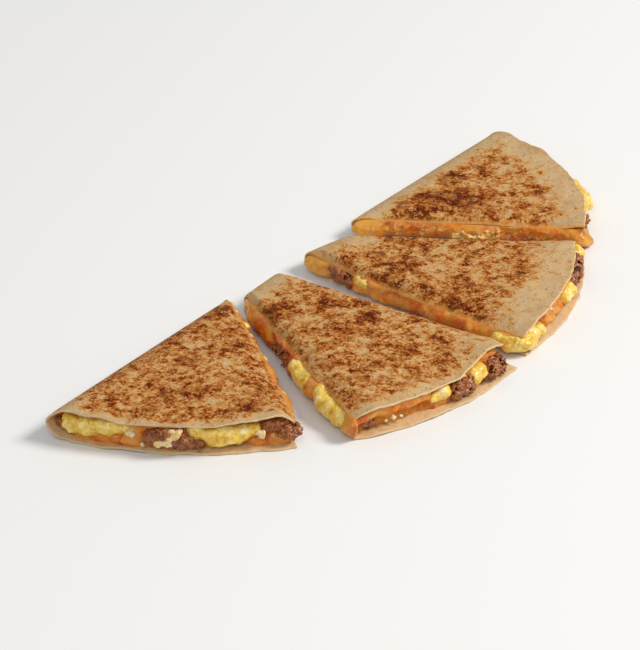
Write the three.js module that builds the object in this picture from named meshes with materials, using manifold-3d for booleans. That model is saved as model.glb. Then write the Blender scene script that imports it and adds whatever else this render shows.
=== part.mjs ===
// A toasted quesadilla: one flour tortilla folded over cheese, scrambled egg and sausage, cut into four slices
// that are fanned out a little. Millimetres, +Z up. X runs along the fold, the cut rim looks along -Y, and the
// origin is the middle of the footprint, on the surface that the slices lie on.
import * as THREE from "three";
import { mergeVertices } from "three/addons/utils/BufferGeometryUtils.js";
import Module from "manifold-3d";

const wasm = await Module();
wasm.setup();

// Driving dimensions.
const TORTILLA_RADIUS = 127;
const SHEET = 1.6; // thickness of the tortilla
const GAP = 0.3; // clearance between two separate solids
const LUMP_GAP = 0.45; // clearance between a lump of sausage and the filling round it
const BEND_TOP = 12; // distance from the fold over which the upper sheet rises to full height
const BEND_BOTTOM = 8; // distance from the fold over which the lower sheet comes down flat
const FOLD_SHARE = 0.5; // height of the fold line, as a share of the slice's height
const DOME = 0.05; // extra height in the middle of a slice, as a share of its height
const CUT_PRESS = 2.2; // how far the knife pressed the upper sheet down at a cut
const CUT_REACH = 0.12; // share of the width over which that pressing fades
const RIM_REACH = 0.2; // share of the length over which the upper rim lifts or droops
const RIM_INSET = 2; // how far the filling stays behind the lower rim
const OOZE = 1.5; // how far the filling bulges out of a cut, halfway up
const ROWS = 10; // rows of facets from the fold to the rim, on each sheet
const COLUMNS = 9; // columns of facets across a slice
const FOLD_GATHER = 1.7; // above 1 crowds the sheet's rows towards the fold
const FILL_ROWS = 7; // rows of facets from the fold to the rim, on a layer of filling
const FILL_COLUMNS = 7; // columns of facets across a layer of filling
const FILL_START = 0.06; // share of the length where the filling begins behind the fold
const KNOBS = [5, 4, 6]; // waves over a lump of sausage, along X, Y and Z
const KNOB_DEPTH = 0.14; // how deep those waves cut, as a share of the lump's radius
const SLOPE_STEP = 1e-3; // share of a slice over which the slope of its face is measured
const SAME_POINT = 1e-4; // distance under which two corners are one

// Each slice: its fold and its rim from left to right, how far its left and right cuts bow out, and its height.
// setBack is how far the upper rim stands behind the lower one, and lift how far it curls up, at its left end,
// middle and right end. Where a slice's rim starts or ends on its fold, the slice is an end of the half moon.
// layers are the fillings from the bottom up, split is the share of the height that the lower one takes, and a
// lump of sausage is at [along, across], shares of the way from fold to rim and from left to right.
const SLICES = [
  {
    name: "slice_1",
    fold: [[-154.5, 49], [-38.5, 55]],
    rim: [[-154.5, 49], [-102.5, -32]],
    bow: [0, 1.5],
    height: 13,
    setBack: [0.5, 0.5, 2],
    lift: [0, -0.6, 0.8],
    layers: ["cheese", "egg"],
    split: 0.36,
    lumps: [
      { at: [0.1, 0.02], size: [3.5, 3.5] },
      { at: [0.91, 0.07], size: [5, 5] },
      { at: [0.97, 0.24], size: [6.5, 5.5] },
      { at: [0.95, 0.93], size: [7.5, 6] },
      { at: [0.45, 0.95], size: [6, 5] },
    ],
  },
  {
    name: "slice_2",
    fold: [[-31.5, 52], [-9.5, 54]],
    rim: [[-85.5, -46], [-0.5, -61]],
    bow: [1, 0],
    height: 12.4,
    setBack: [0, 2, 6],
    lift: [0.7, -0.8, 0.3],
    layers: ["egg", "cheese"],
    split: 0.55,
    lumps: [
      { at: [0.41, 0.03], size: [5, 6] },
      { at: [0.96, 0.08], size: [6, 5] },
      { at: [0.97, 0.61], size: [6.5, 6] },
      { at: [0.97, 0.83], size: [6, 5.5] },
      { at: [0.36, 0.96], size: [6, 5] },
    ],
  },
  {
    name: "slice_3",
    fold: [[14.5, 57], [32.5, 54]],
    rim: [[9.5, -58], [92.5, -28]],
    bow: [2.5, 0],
    height: 11,
    setBack: [1, 3, 4],
    lift: [0, 0.3, 0.3],
    layers: ["egg", "cheese"],
    split: 0.5,
    lumps: [
      { at: [0.22, 0.09], size: [4.5, 4.5] },
      { at: [0.54, 0.04], size: [4, 4] },
      { at: [0.97, 0.745], size: [6, 6.5] },
      { at: [0.55, 0.96], size: [5.5, 5] },
    ],
  },
  {
    name: "slice_4",
    fold: [[49.5, 60], [154.5, 63]],
    rim: [[103.5, -25], [154.5, 63]],
    bow: [0, 0],
    height: 11.4,
    setBack: [3, 1, 1],
    lift: [0, 0, 0],
    layers: ["egg", "cheese"],
    split: 0.45,
    lumps: [
      { at: [0.91, 0.07], size: [5, 4.5] },
      { at: [0.98, 0.28], size: [4.5, 4.5] },
      { at: [0.62, 0.97], size: [5.5, 4.5] },
    ],
  },
];

const FINISHES = {
  tortilla: { color: 0xd9b98a, roughness: 0.75 },
  cheese: { color: 0xf09a2a, roughness: 0.3 },
  egg: { color: 0xf0cf45, roughness: 0.4 },
  sausage: { color: 0x7a4328, roughness: 0.5 },
};

const lerp = THREE.MathUtils.lerp;
const smoothstep = THREE.MathUtils.smoothstep;

// A quarter of a circle, from 0 at share 0 to 1 at share 1, as a bent sheet rises.
const quarterRound = (share) => Math.sqrt(1 - (1 - Math.min(share, 1)) ** 2);

// A value that runs smoothly through three: at share 0, at share one half and at share 1.
const through = ([first, middle, last], share) =>
  share < 0.5
    ? lerp(first, middle, smoothstep(share, 0, 0.5))
    : lerp(middle, last, smoothstep(share, 0.5, 1));

// The point at a share of the way along an arc of the tortilla's edge, which bulges to the right of from-to.
function alongRim(from, to, share) {
  const middle = from.clone().add(to).multiplyScalar(0.5);
  const half = to.clone().sub(from).multiplyScalar(0.5);
  const inward = new THREE.Vector2(-half.y, half.x).normalize();
  const toCentre = Math.sqrt(TORTILLA_RADIUS ** 2 - half.lengthSq());
  const centre = middle.add(inward.multiplyScalar(toCentre));
  const spread = Math.asin(half.length() / TORTILLA_RADIUS);
  const angle = Math.atan2(from.y - centre.y, from.x - centre.x) + 2 * spread * share;
  return new THREE.Vector2(Math.cos(angle), Math.sin(angle)).multiplyScalar(TORTILLA_RADIUS).add(centre);
}

// A slice seen from above as a four-sided patch: along runs from fold to rim, across from left to right. At an end
// of the half moon the patch's outer side is the first or last half of the rim.
function outline(slice) {
  const [foldLeft, foldRight] = slice.fold.map((p) => new THREE.Vector2(...p));
  const [rimLeft, rimRight] = slice.rim.map((p) => new THREE.Vector2(...p));
  const rimAt = (share) => alongRim(rimLeft, rimRight, share);
  const opensLeft = foldLeft.equals(rimLeft);
  const opensRight = foldRight.equals(rimRight);
  const rimFrom = opensLeft ? 0.5 : 0;
  const rimTo = opensRight ? 0.5 : 1;
  const fold = (across) => foldLeft.clone().lerp(foldRight, across);
  const rim = (across) => rimAt(lerp(rimFrom, rimTo, across));
  const cut = (from, to, bow, along) => {
    const sideways = new THREE.Vector2(from.y - to.y, to.x - from.x).normalize();
    return from.clone().lerp(to, along).addScaledVector(sideways, bow * Math.sin(Math.PI * along));
  };
  const left = (along) => (opensLeft ? rimAt(along / 2) : cut(foldLeft, rimLeft, -slice.bow[0], along));
  const right = (along) => (opensRight ? rimAt(1 - along / 2) : cut(foldRight, rimRight, slice.bow[1], along));
  const at = (along, across) => {
    const corners = fold(0).multiplyScalar((1 - along) * (1 - across))
      .add(fold(1).multiplyScalar((1 - along) * across))
      .add(rim(0).multiplyScalar(along * (1 - across)))
      .add(rim(1).multiplyScalar(along * across));
    return fold(across).lerp(rim(across), along)
      .add(left(along).lerp(right(along), across))
      .sub(corners);
  };
  return { at, opensLeft, opensRight, foldLeft, foldRight };
}

// The outer face of a folded tortilla: along is 0 at the fold, 1 at the upper rim and -1 at the lower rim.
function outerFace(slice) {
  const plan = outline(slice);
  const foldDirection = plan.foldRight.clone().sub(plan.foldLeft).normalize();
  const behindFold = (p) => foldDirection.cross(plan.foldLeft.clone().sub(p));
  return (along, across) => {
    const reach = Math.abs(along);
    const length = plan.at(0, across).distanceTo(plan.at(1, across));
    const setBack = through(slice.setBack, across) * smoothstep(reach, 0, 1);
    const p = plan.at(along > 0 ? reach * (1 - setBack / length) : reach, across);
    const depth = Math.max(behindFold(p), 0);
    if (along <= 0) {
      const lift = slice.height * FOLD_SHARE * (1 - quarterRound(depth / BEND_BOTTOM));
      return new THREE.Vector3(p.x, p.y, lift);
    }
    const fromCut = Math.min(plan.opensLeft ? 1 : across, plan.opensRight ? 1 : 1 - across);
    const inland = smoothstep(depth, 0, BEND_TOP);
    const pressed = CUT_PRESS * (1 - smoothstep(fromCut, 0, CUT_REACH)) * inland;
    const dome = slice.height * DOME * Math.sin(Math.PI * across) * Math.sin(Math.PI * reach);
    const curl = through(slice.lift, across) * smoothstep(reach, 1 - RIM_REACH, 1) * inland;
    const rise = lerp(FOLD_SHARE, 1, quarterRound(depth / BEND_TOP));
    return new THREE.Vector3(p.x, p.y, slice.height * rise - pressed + dome + curl);
  };
}

// A point that lies a given depth under the outer face, measured square to it.
function under(face, along, across, depth) {
  const nearRim = Math.min(along + SLOPE_STEP, 1);
  const nearRight = Math.min(across + SLOPE_STEP, 1);
  const downFace = face(nearRim, across).sub(face(nearRim - SLOPE_STEP, across));
  const overFace = face(along, nearRight).sub(face(along, nearRight - SLOPE_STEP));
  const inward = overFace.cross(downFace).normalize();
  return face(along, across).addScaledVector(inward, depth);
}

// A closed solid between two grids of points with the same rows and columns.
function between(upper, lower) {
  const rows = upper.length - 1;
  const columns = upper[0].length - 1;
  const positions = [];
  const quad = (a, b, c, d) => positions.push(a, b, c, a, c, d);
  for (let i = 0; i < rows; i++)
    for (let j = 0; j < columns; j++) {
      quad(upper[i][j], upper[i + 1][j], upper[i + 1][j + 1], upper[i][j + 1]);
      quad(lower[i][j], lower[i][j + 1], lower[i + 1][j + 1], lower[i + 1][j]);
    }
  for (let i = 0; i < rows; i++) {
    quad(lower[i][0], lower[i + 1][0], upper[i + 1][0], upper[i][0]);
    quad(upper[i][columns], upper[i + 1][columns], lower[i + 1][columns], lower[i][columns]);
  }
  for (let j = 0; j < columns; j++) {
    quad(lower[0][j], upper[0][j], upper[0][j + 1], lower[0][j + 1]);
    quad(upper[rows][j], lower[rows][j], lower[rows][j + 1], upper[rows][j + 1]);
  }
  return new THREE.BufferGeometry().setFromPoints(positions);
}

const steps = (count, from = 0, to = 1) =>
  Array.from({ length: count + 1 }, (_, i) => lerp(from, to, i / count));

function tortillaSheet(slice) {
  const face = outerFace(slice);
  const alongs = steps(2 * ROWS, -1, 1).map((u) => Math.sign(u) * Math.abs(u) ** FOLD_GATHER);
  const acrosses = steps(COLUMNS);
  const skin = (depth) => alongs.map((a) => acrosses.map((c) => under(face, a, c, depth)));
  return between(skin(0), skin(SHEET));
}

// The filling's own floor and ceiling at a place, a gap inside the folded sheet.
function fillingSpan(slice) {
  const face = outerFace(slice);
  return (along, across) => ({
    floor: under(face, -along, across, SHEET + GAP),
    ceiling: under(face, along, across, SHEET + GAP),
  });
}

// A layer of filling that runs through the slice between two shares of the filling's height. It stops behind the
// rim and bulges out of the cuts.
function layer(slice, low, high) {
  const span = fillingSpan(slice);
  const { at, opensLeft, opensRight } = outline(slice);
  const width = at(0.5, 0).distanceTo(at(0.5, 1));
  const alongs = steps(FILL_ROWS, FILL_START, 1 - RIM_INSET / TORTILLA_RADIUS);
  const acrosses = steps(
    FILL_COLUMNS,
    opensLeft ? RIM_INSET / width : 0,
    opensRight ? 1 - RIM_INSET / width : 1,
  );
  const point = (along, across, share, gap) => {
    const { floor, ceiling } = span(along, across);
    const p = floor.lerp(ceiling, share);
    const outward = across === 0 ? [0, 1] : across === 1 ? [1, 0] : null;
    if (outward) {
      const [here, there] = outward.map((c) => at(along, c));
      const push = here.sub(there).setLength(OOZE * Math.sin(Math.PI * share));
      p.add(new THREE.Vector3(push.x, push.y, 0));
    }
    p.z += gap;
    return p;
  };
  const level = (share, gap) => alongs.map((a) => acrosses.map((c) => point(a, c, share, gap)));
  return between(level(high, high < 1 ? -GAP / 2 : 0), level(low, low > 0 ? GAP / 2 : 0));
}

// A knobbly lump of crumbled sausage, with a ripple worked out from the direction of each point.
function lumpShape(size, seed) {
  const shape = new THREE.IcosahedronGeometry(1, 1);
  const p = new THREE.Vector3();
  const place = shape.getAttribute("position");
  for (let i = 0; i < place.count; i++) {
    p.fromBufferAttribute(place, i);
    const [alongX, alongY, alongZ] = KNOBS;
    const ripple = Math.sin(alongX * p.x + seed) * Math.sin(alongY * p.y + 2 * seed) * Math.cos(alongZ * p.z + seed);
    p.multiplyScalar(1 - KNOB_DEPTH * Math.abs(ripple));
    place.setXYZ(i, p.x, p.y, p.z);
  }
  return shape.scale(...size);
}

function lumpPlace(slice, lump) {
  const span = fillingSpan(slice);
  const { floor, ceiling } = span(...lump.at);
  const room = (ceiling.z - floor.z) / 2 - 2 * GAP;
  return { centre: floor.clone().lerp(ceiling, 0.5), size: [...lump.size, Math.min(room, ...lump.size)] };
}

function asManifold(geometry) {
  const bare = geometry.clone();
  bare.deleteAttribute("normal");
  bare.deleteAttribute("uv");
  const merged = mergeVertices(bare, SAME_POINT);
  return new wasm.Manifold(new wasm.Mesh({
    numProp: 3,
    vertProperties: merged.getAttribute("position").array,
    triVerts: new Uint32Array(merged.index.array),
  }));
}

function asGeometry(manifold) {
  const mesh = manifold.getMesh();
  return new THREE.BufferGeometry()
    .setAttribute("position", new THREE.BufferAttribute(mesh.vertProperties, 3))
    .setIndex(new THREE.BufferAttribute(mesh.triVerts, 1));
}

const largest = (manifold) => manifold.decompose().sort((a, b) => b.volume() - a.volume())[0];

function finished(name, geometry, finish) {
  geometry.computeVertexNormals();
  const mesh = new THREE.Mesh(geometry, new THREE.MeshStandardMaterial({ metalness: 0, ...FINISHES[finish] }));
  mesh.name = name;
  return mesh;
}

function builtSlice(slice, index) {
  const group = new THREE.Group();
  group.add(finished(`${slice.name}_tortilla`, tortillaSheet(slice), "tortilla"));
  let hollow = null;
  slice.lumps.forEach((lump, i) => {
    const { centre, size } = lumpPlace(slice, lump);
    const seed = 1 + index * 7 + i * 3;
    const geometry = lumpShape(size, seed).translate(centre.x, centre.y, centre.z);
    group.add(finished(`${slice.name}_sausage_${i + 1}`, geometry, "sausage"));
    const room = lumpShape(size.map((radius) => radius + LUMP_GAP), seed).translate(centre.x, centre.y, centre.z);
    hollow = hollow ? hollow.add(asManifold(room)) : asManifold(room);
  });
  const levels = [[0, slice.split], [slice.split, 1]];
  slice.layers.forEach((kind, i) => {
    const whole = asManifold(layer(slice, ...levels[i]));
    group.add(finished(`${slice.name}_${kind}`, asGeometry(largest(whole.subtract(hollow))), kind));
  });
  return group;
}

const quesadilla = new THREE.Group();
quesadilla.name = "quesadilla";
SLICES.forEach((slice, index) => quesadilla.add(builtSlice(slice, index)));

export default quesadilla;
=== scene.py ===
import math

import bpy
import numpy as np
from mathutils import Euler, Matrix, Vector, noise


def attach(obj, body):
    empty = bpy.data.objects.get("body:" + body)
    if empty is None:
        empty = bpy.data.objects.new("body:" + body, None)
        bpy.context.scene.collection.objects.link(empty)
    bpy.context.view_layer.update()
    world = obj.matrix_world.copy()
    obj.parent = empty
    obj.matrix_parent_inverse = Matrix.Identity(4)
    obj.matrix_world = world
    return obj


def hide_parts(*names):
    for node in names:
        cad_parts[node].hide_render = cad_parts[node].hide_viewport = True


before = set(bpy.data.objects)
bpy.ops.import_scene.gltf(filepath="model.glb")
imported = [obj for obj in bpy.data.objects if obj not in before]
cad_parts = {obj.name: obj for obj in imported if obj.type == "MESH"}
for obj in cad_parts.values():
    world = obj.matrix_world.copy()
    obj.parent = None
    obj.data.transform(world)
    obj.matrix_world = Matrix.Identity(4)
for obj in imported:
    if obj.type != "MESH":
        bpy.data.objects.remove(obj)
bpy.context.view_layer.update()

# ---------------------------------------------------------------------- viewpoint
# A long lens, 1.6 m away on the left of the cut rim, looks down on the food at a little under 30 degrees.

look_at = Vector((-0.0195, 0.022, 0.0))
distance = 1.6
azimuth = math.radians(-52)
elevation = math.radians(28.2)
sensor = 36.0
focal_in_frame_heights = 4000 / 650


def put_in_scene(name, data):
    thing = bpy.data.objects.new(name, data)
    bpy.context.scene.collection.objects.link(thing)
    return thing


def aim_at_food(thing, distance, turn, rise):
    """Puts a camera or a light this far from the food, turned round it and raised, and aims it there."""
    thing.location = look_at + distance * Vector((
        math.sin(turn) * math.cos(rise),
        -math.cos(turn) * math.cos(rise),
        math.sin(rise),
    ))
    thing.rotation_euler = (look_at - thing.location).to_track_quat("-Z", "Y").to_euler()


camera = put_in_scene("camera", bpy.data.cameras.new("camera"))
bpy.context.scene.camera = camera
camera.data.sensor_width = sensor
camera.data.lens = sensor * focal_in_frame_heights
camera.data.clip_end = 20
aim_at_food(camera, distance, azimuth, elevation)
bpy.context.scene.view_settings.view_transform = "Standard"

# ---------------------------------------------------------------------- tortilla
# One large flour tortilla, folded in half over the filling and cut into four wedges with a knife. It is
# soft wheat dough 1.6 mm thick, toasted on a griddle, so what touched the hot plate is browned in
# blisters and spots.

TORTILLA_RADIUS = 0.127
SHEET = 0.0016  # thickness of the dough
BEND_TOP = 0.012  # distance from the fold at which the upper sheet has its full height
BEND_BOTTOM = 0.008  # and at which the lower sheet lies flat
FOLD_SHARE = 0.5  # height of the bend's outermost line, as a share of the wedge's
DOME = 0.05  # rise of the middle, as a share of the wedge's height
CUT_PRESS = 0.0022  # how far the knife pressed the upper sheet down
CUT_REACH = 0.12  # and over what share of the width
RIM_REACH = 0.2  # share of the length over which the rim lifts or droops
THINNING = 0.4  # share of the thickness lost at an edge
THIN_BAND = 0.005
EDGE_INSET = 0.0004  # how far an edge is rounded
EDGE_RINGS = ((0.00012, 0.14), (0.0, 0.5), (0.00012, 0.86))  # inset and share of the thickness
RELIEF_START = (0.02, 0.15)  # the stretch past the fold over which waves and blisters begin
WAVE = 0.0007  # slow waves of the upper sheet, twice as high close to the rim
WAVE_SIZE = 0.02
BLISTER = 0.0003
BLISTER_SIZE = 0.006
RIM_BAND = 0.018
ROLL = 0.0007  # how far the upper sheet rolls down at a cut
CUT_BAND = 0.0028
RAGGED = 0.0007  # how far the edges wander
RAGGED_SIZE = 0.008
RAGGED_BAND = 0.008
LIP_WAVE = 0.0005  # waves of the lower rim
LIP_WAVE_SIZE = 0.014
CREASE_WANDER = 0.002
RIM_FADE = (0.3, 1.4)  # shares of the pale band along the rim over which browning sets in
FOLD_FADE = (0.5, 1.3)  # and of the one at the fold
STAIN_BAND = 0.0022  # how far the melted cheese has stained the upper sheet from a cut
ROWS = 130
COLUMNS = 100
CROWDING = 1.25  # crowds the rows towards the fold


def smooth(value, low, high):
    """0 below low, 1 above high, and a smooth step between."""
    share = np.clip((value - low) / (high - low), 0, 1)
    return share * share * (3 - 2 * share)


def through(values, share):
    """A value that runs smoothly through three: at share 0, at one half and at 1."""
    first, middle, last = values
    early = first + (middle - first) * smooth(share, 0, 0.5)
    late = middle + (last - middle) * smooth(share, 0.5, 1)
    return np.where(share < 0.5, early, late)


def quarter_round(share):
    """Height of a quarter circle, as a bent sheet rises."""
    return np.sqrt(1 - (1 - np.minimum(share, 1)) ** 2)


class Wedge:
    """A wedge of the folded tortilla. Along runs from 0 at the fold to 1 at the upper rim and -1 at the
    lower rim, and across from 0 at the wedge's left side to 1 at its right."""

    def __init__(self, name, fold, rim, bow, height, set_back, lift, toast, creases=()):
        self.name = name
        self.fold = [np.array(p) for p in fold]
        self.rim = [np.array(p) for p in rim]
        self.bow = bow
        self.height = height
        self.set_back = set_back
        self.lift = lift
        self.toast = toast
        self.creases = creases
        self.opens_left = np.allclose(self.fold[0], self.rim[0])
        self.opens_right = np.allclose(self.fold[1], self.rim[1])

    def rim_at(self, share):
        """A point of the tortilla's round rim, at a share of the way from its left end to its right one."""
        start, end = self.rim
        half = (end - start) / 2
        reach = np.linalg.norm(half)
        inward = np.array((-half[1], half[0])) / reach
        centre = (start + end) / 2 + inward * math.sqrt(TORTILLA_RADIUS**2 - reach**2)
        spread = math.asin(reach / TORTILLA_RADIUS)
        angle = math.atan2(*(start - centre)[::-1]) + 2 * spread * share
        return centre + TORTILLA_RADIUS * np.stack((np.cos(angle), np.sin(angle)), -1)

    def side(self, start, end, bow, along):
        """A point of a knife cut, which bows a little."""
        run = end - start
        sideways = np.array((-run[1], run[0])) / np.linalg.norm(run)
        return start + run * along[..., None] + sideways * (bow * np.sin(np.pi * along))[..., None]

    def plan(self, along, across):
        """Where a point lies seen from above, inside the wedge's four edges."""
        low = 0.5 if self.opens_left else 0.0
        high = 0.5 if self.opens_right else 1.0

        def fold(share):
            return self.fold[0] + (self.fold[1] - self.fold[0]) * share[..., None]

        def rim(share):
            return self.rim_at(low + (high - low) * share)

        if self.opens_left:
            left = self.rim_at(along / 2)
        else:
            left = self.side(self.fold[0], self.rim[0], -self.bow[0], along)
        if self.opens_right:
            right = self.rim_at(1 - along / 2)
        else:
            right = self.side(self.fold[1], self.rim[1], self.bow[1], along)
        zero, one = np.zeros(1), np.ones(1)
        u, v = along[..., None], across[..., None]
        corners = (1 - u) * ((1 - v) * fold(zero) + v * fold(one)) + u * ((1 - v) * rim(zero) + v * rim(one))
        return (1 - u) * fold(across) + u * rim(across) + (1 - v) * left + v * right - corners

    def from_fold(self, points):
        """Distance to the straight line of the fold."""
        run = self.fold[1] - self.fold[0]
        run = run / np.linalg.norm(run)
        back = self.fold[0] - points
        return np.maximum(run[0] * back[..., 1] - run[1] * back[..., 0], 0)

    def size_at(self, along, across):
        """Length from fold to rim, and width from side to side, through a point."""
        length = np.linalg.norm(self.plan(0 * across, across) - self.plan(0 * across + 1, across), axis=-1)
        reach = np.abs(along)
        width = np.linalg.norm(self.plan(reach, 0 * reach) - self.plan(reach, 0 * reach + 1), axis=-1)
        return length, width

    def to_edges(self, along, across):
        """Distance to the tortilla's own rim, and to the nearest knife cut."""
        length, width = self.size_at(along, across)
        to_left = across * width
        to_right = (1 - across) * width
        rims = [(1 - np.abs(along)) * length]
        cuts = [np.full(along.shape, TORTILLA_RADIUS)]
        (rims if self.opens_left else cuts).append(to_left)
        (rims if self.opens_right else cuts).append(to_right)
        return np.minimum.reduce(rims), np.minimum.reduce(cuts)

    def outer(self, along, across):
        """The outer face of the folded sheet."""
        reach = np.abs(along)
        length, _ = self.size_at(along, across)
        back = through(self.set_back, across) * smooth(reach, 0, 1)
        plan = self.plan(np.where(along > 0, reach * (1 - back / length), reach), across)
        depth = self.from_fold(plan)
        low = self.height * FOLD_SHARE * (1 - quarter_round(depth / BEND_BOTTOM))
        from_cut = np.minimum(1 if self.opens_left else across, 1 if self.opens_right else 1 - across)
        inland = smooth(depth, 0, BEND_TOP)
        pressed = CUT_PRESS * (1 - smooth(from_cut, 0, CUT_REACH)) * inland
        dome = self.height * DOME * np.sin(np.pi * across) * np.sin(np.pi * reach)
        curl = through(self.lift, across) * smooth(reach, 1 - RIM_REACH, 1) * inland
        rise = FOLD_SHARE + (1 - FOLD_SHARE) * quarter_round(depth / BEND_TOP)
        high = self.height * rise - pressed + dome + curl
        return np.concatenate((plan, np.where(along > 0, high, low)[..., None]), -1)

    def under(self, along, across, depth):
        """A point a given depth under the outer face, square to it."""
        step = 1e-3
        b = np.minimum(along + step, 1)
        d = np.minimum(across + step, 1)
        down = self.outer(b, across) - self.outer(b - step, across)
        over = self.outer(along, d) - self.outer(along, d - step)
        inward = np.cross(over, down)
        inward /= np.linalg.norm(inward, axis=-1)[..., None]
        return self.outer(along, across) + inward * np.asarray(depth)[..., None]

    def inside(self, along, across, share):
        """A point inside the fold, at a share of the way up from the lower sheet to the upper one."""
        sheet = np.full(along.shape, SHEET)
        low = self.under(-along, across, sheet)
        high = self.under(along, across, sheet)
        return low + (high - low) * share[..., None]

    def opening(self, walk, inset, share):
        """A point at an inset behind the open sides. The walk goes down the left side from 0 at the fold to
        1, along the rim to 2, and back up the right side to 3 at the fold."""
        along = np.clip(walk, 0, 1) - np.clip(walk - 2, 0, 1)
        across = np.clip(walk - 1, 0, 1)
        length, width = self.size_at(along, across)
        behind = np.maximum(inset, 0)
        ahead = np.maximum(-inset, 0)
        along = np.clip(along, 0, 1 - behind / length)
        across = np.clip(across, behind / width, 1 - behind / width)
        along = along + np.where((walk >= 1) & (walk <= 2), ahead / length, 0)
        across = across + np.where(walk > 2, ahead / width, 0) - np.where(walk < 1, ahead / width, 0)
        return self.inside(along, across, share)


# The wedges from front to back. The bow is how far each cut bulges out. Set_back and lift move the upper
# rim at its left end, middle and right end. A mark is a darker or a paler patch: where it lies along and
# across, its size and its strength. A crease has its place, its reach along and across, its height, and
# its ripples in radians a metre.
WEDGES = (
    Wedge(
        "slice_1", fold=((-0.1545, 0.049), (-0.0385, 0.055)), rim=((-0.1545, 0.049), (-0.1025, -0.032)),
        bow=(0, 0.0015), height=0.013, set_back=(0.0005, 0.0005, 0.002), lift=(0, -0.0006, 0.0008),
        toast=dict(level=0.6, pale_fold=0.0, pale_rim=0.005, marks=(
            (0.12, 0.04, 0.009, -0.3), (0.18, 0.29, 0.007, -0.15), (0.49, 0.79, 0.007, -0.3),
            (0.71, 0.57, 0.004, -0.25), (0.39, 0.91, 0.003, 0.45), (0.09, 0.92, 0.004, 0.3),
            (0.83, 0.69, 0.009, 0.15), (0.47, 0.42, 0.01, 0.15),
        )),
    ),
    Wedge(
        "slice_2", fold=((-0.0315, 0.052), (-0.0095, 0.054)), rim=((-0.0855, -0.046), (-0.0005, -0.061)),
        bow=(0.001, 0), height=0.0124, set_back=(0, 0.002, 0.006), lift=(0.0007, -0.0008, 0.0003),
        toast=dict(level=0.58, pale_fold=0.014, pale_rim=0.006, marks=(
            (0.22, 0.18, 0.006, 0.45), (0.33, 0.58, 0.006, 0.25), (0.48, 0.52, 0.008, 0.25),
            (0.51, 0.71, 0.0045, 0.35), (0.35, 0.37, 0.004, -0.35), (0.6, 0.81, 0.005, -0.25),
            (0.77, 0.58, 0.004, 0.35), (0.91, 0.9, 0.009, -0.35),
        )),
        creases=((0.56, 0.16, (0.012, 0.008), 0.0003, 2200), (0.62, 0.13, (0.01, 0.007), 0.0002, 2900)),
    ),
    Wedge(
        "slice_3", fold=((0.0145, 0.057), (0.0325, 0.054)), rim=((0.0095, -0.058), (0.0925, -0.028)),
        bow=(0.0025, 0), height=0.011, set_back=(0.001, 0.003, 0.004), lift=(0, 0.0003, 0.0003),
        toast=dict(level=0.6, pale_fold=0.019, pale_rim=0.018, marks=(
            (0.18, 0.28, 0.006, 0.4), (0.38, 0.23, 0.008, 0.4), (0.67, 0.06, 0.005, 0.5),
            (0.54, 0.1, 0.004, 0.35), (0.48, 0.45, 0.007, -0.3), (0.8, 0.59, 0.006, 0.35),
            (0.22, 0.94, 0.005, 0.35), (0.93, 0.37, 0.014, -0.2),
        )),
    ),
    Wedge(
        "slice_4", fold=((0.0495, 0.06), (0.1545, 0.063)), rim=((0.1035, -0.025), (0.1545, 0.063)),
        bow=(0, 0), height=0.0114, set_back=(0.003, 0.001, 0.001), lift=(0, 0, 0),
        toast=dict(level=0.6, pale_fold=0.012, pale_rim=0.016, marks=(
            (0.19, 0.2, 0.007, 0.45), (0.38, 0.2, 0.01, 0.5), (0.2, 0.45, 0.0045, 0.65),
            (0.28, 0.06, 0.004, 0.35), (0.74, 0.4, 0.005, 0.3), (0.83, 0.17, 0.004, 0.3),
            (0.72, 0.71, 0.016, -0.3), (0.55, 0.36, 0.004, -0.3),
        )),
        creases=((0.52, 0.1, (0.014, 0.0017), 0.0017, 0),),
    ),
)


class Value:
    """A socket of a node tree as a value that Python can do sums with."""

    def __init__(self, tree, socket):
        self.tree = tree
        self.socket = socket

    def sum(self, operation, *operands):
        node = self.tree.nodes.new("ShaderNodeMath")
        node.operation = operation
        for socket, operand in zip(node.inputs, operands):
            plug(self.tree, socket, operand)
        return Value(self.tree, node.outputs[0])

    def __add__(self, other):
        return self.sum("ADD", self, other)

    def __sub__(self, other):
        return self.sum("SUBTRACT", self, other)

    def __rsub__(self, other):
        return self.sum("SUBTRACT", other, self)

    def __mul__(self, other):
        return self.sum("MULTIPLY", self, other)

    def __rtruediv__(self, other):
        return self.sum("DIVIDE", other, self)

    def __abs__(self):
        return self.sum("ABSOLUTE", self)

    __radd__ = __add__
    __rmul__ = __mul__


def ink(code):
    """A colour written as screen hex, as linear light."""
    parts = [int(code[i:i + 2], 16) / 255 for i in (1, 3, 5)]
    return tuple(p / 12.92 if p <= 0.04045 else ((p + 0.055) / 1.055) ** 2.4 for p in parts) + (1.0,)


def plug(tree, socket, operand):
    """Links a socket to a value, or sets it to a number, a vector or a colour."""
    if isinstance(operand, Value):
        tree.links.new(operand.socket, socket)
    elif isinstance(operand, str) and operand[0] == "#":
        socket.default_value = ink(operand)
    else:
        socket.default_value = operand


class Tree:
    """A tree of nodes being made."""

    def node(self, kind, settings=None, output=0, **sockets):
        """A new node. _2 stands for its third input, and an underscore in a name for a space."""
        node = self.tree.nodes.new(kind)
        for key, setting in (settings or {}).items():
            setattr(node, key, setting)
        for key, operand in sockets.items():
            plug(self.tree, node.inputs[int(key[1:]) if key[0] == "_" else key.replace("_", " ")], operand)
        return Value(self.tree, node.outputs[output])


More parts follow.
